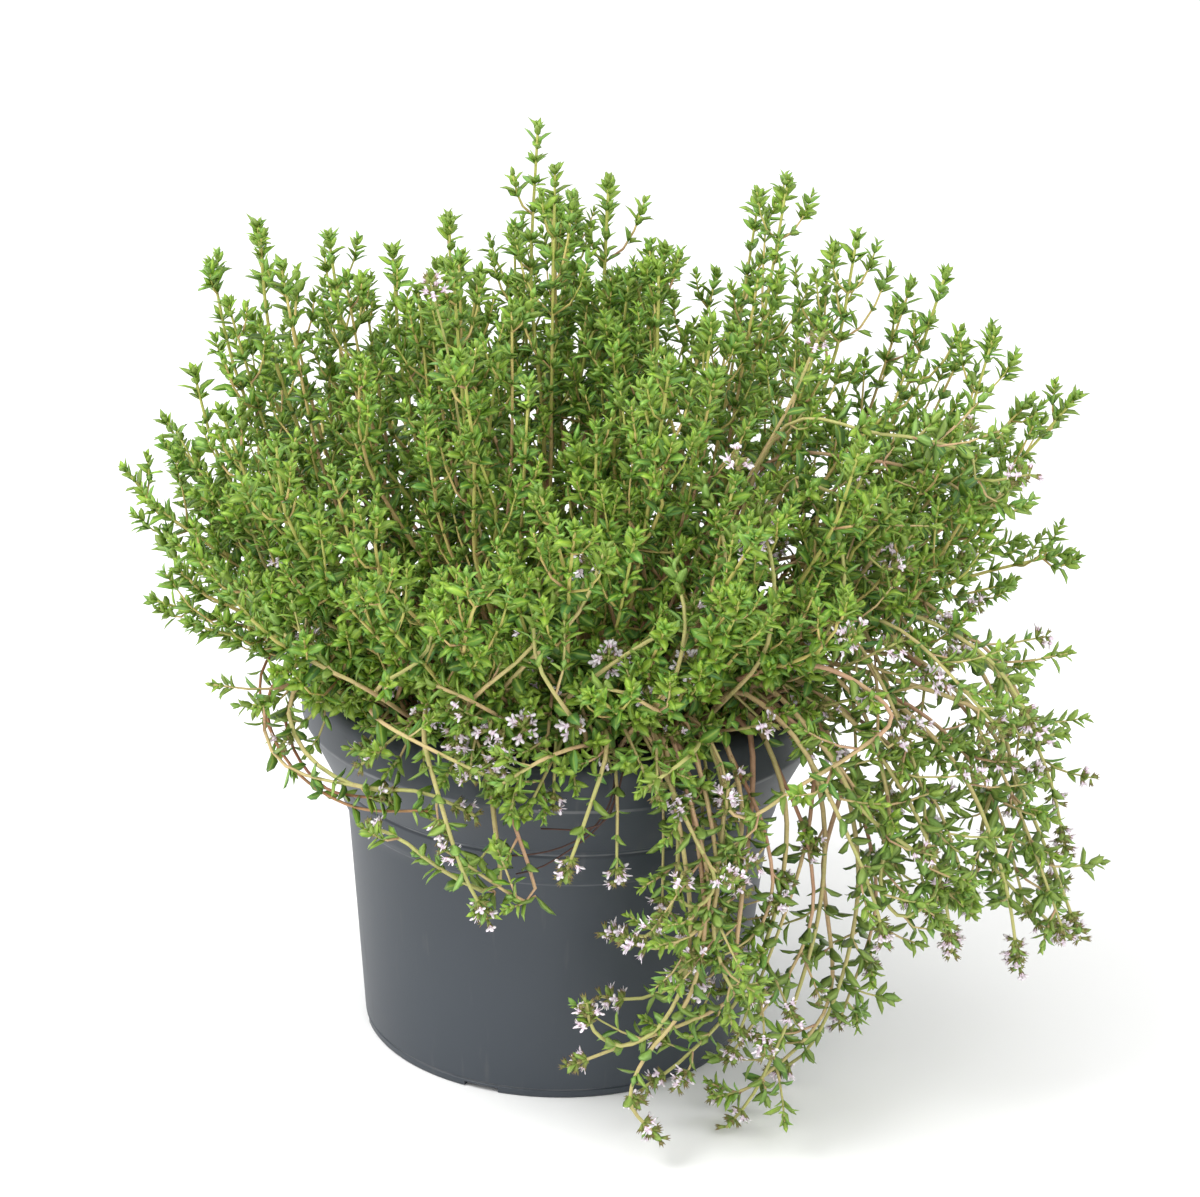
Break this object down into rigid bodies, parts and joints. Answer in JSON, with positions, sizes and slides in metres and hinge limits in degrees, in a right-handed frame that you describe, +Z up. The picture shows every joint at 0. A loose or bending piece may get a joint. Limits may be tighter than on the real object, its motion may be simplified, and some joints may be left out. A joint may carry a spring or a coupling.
{
  "type": "potted thyme plant",
  "caption": "Common thyme in a grey nursery pot: a dome of upright leafy stems, with flowering stems that trail over the rim and down to the surface.",
  "frame": {"origin": "middle of the pot's base, on the surface that the pot stands on", "axes": "+Z up along the pot's axis; -Y towards the side with the most trailing stems at its right; +X to the right of that view"},
  "size_m": [0.3555, 0.2695, 0.3402],
  "materials": {
    "pot": "satin moulded slate-grey polypropylene with faint scuffs",
    "soil": "dark moist peat compost with crumbs",
    "leafy_stem": "small matt mid-green leaves on tan to yellow-green stems",
    "flowering_stem": "matt green leaves with pale lilac florets on tan to reddish stems"
  },
  "bodies": {
    "root": {"pot": "pot", "soil": "soil", "upright_stem_01": "leafy_stem", "upright_stem_02": "leafy_stem", "upright_stem_03": "leafy_stem", "upright_stem_04": "leafy_stem", "upright_stem_05": "leafy_stem", "upright_stem_06": "leafy_stem", "upright_stem_07": "leafy_stem", "upright_stem_08": "leafy_stem", "upright_stem_09": "leafy_stem", "upright_stem_10": "leafy_stem", "upright_stem_11": "leafy_stem", "upright_stem_12": "leafy_stem", "upright_stem_13": "leafy_stem", "upright_stem_14": "leafy_stem", "upright_stem_15": "leafy_stem", "upright_stem_16": "leafy_stem", "upright_stem_17": "leafy_stem", "upright_stem_18": "leafy_stem", "upright_stem_19": "leafy_stem", "crown_stem_20": "leafy_stem", "crown_stem_21": "leafy_stem", "crown_stem_22": "leafy_stem", "crown_stem_23": "leafy_stem", "crown_stem_24": "leafy_stem", "crown_stem_25": "leafy_stem", "crown_stem_26": "leafy_stem", "crown_stem_27": "leafy_stem", "crown_stem_28": "leafy_stem", "crown_stem_29": "leafy_stem", "crown_stem_30": "leafy_stem", "crown_stem_31": "leafy_stem", "crown_stem_32": "leafy_stem", "crown_stem_33": "leafy_stem", "crown_stem_34": "leafy_stem", "crown_stem_35": "leafy_stem", "crown_stem_36": "leafy_stem", "crown_stem_37": "leafy_stem", "crown_stem_38": "leafy_stem", "trailing_stem_39": "flowering_stem", "trailing_stem_40": "flowering_stem", "trailing_stem_41": "flowering_stem", "trailing_stem_42": "flowering_stem", "trailing_stem_43": "flowering_stem", "trailing_stem_44": "flowering_stem", "trailing_stem_45": "flowering_stem", "trailing_stem_46": "flowering_stem", "trailing_stem_47": "flowering_stem", "trailing_stem_48": "flowering_stem", "trailing_stem_49": "flowering_stem", "trailing_stem_50": "flowering_stem", "trailing_stem_51": "flowering_stem", "trailing_stem_52": "flowering_stem", "trailing_stem_53": "flowering_stem", "trailing_stem_54": "flowering_stem", "trailing_stem_55": "flowering_stem"}
  },
  "joints": []
}
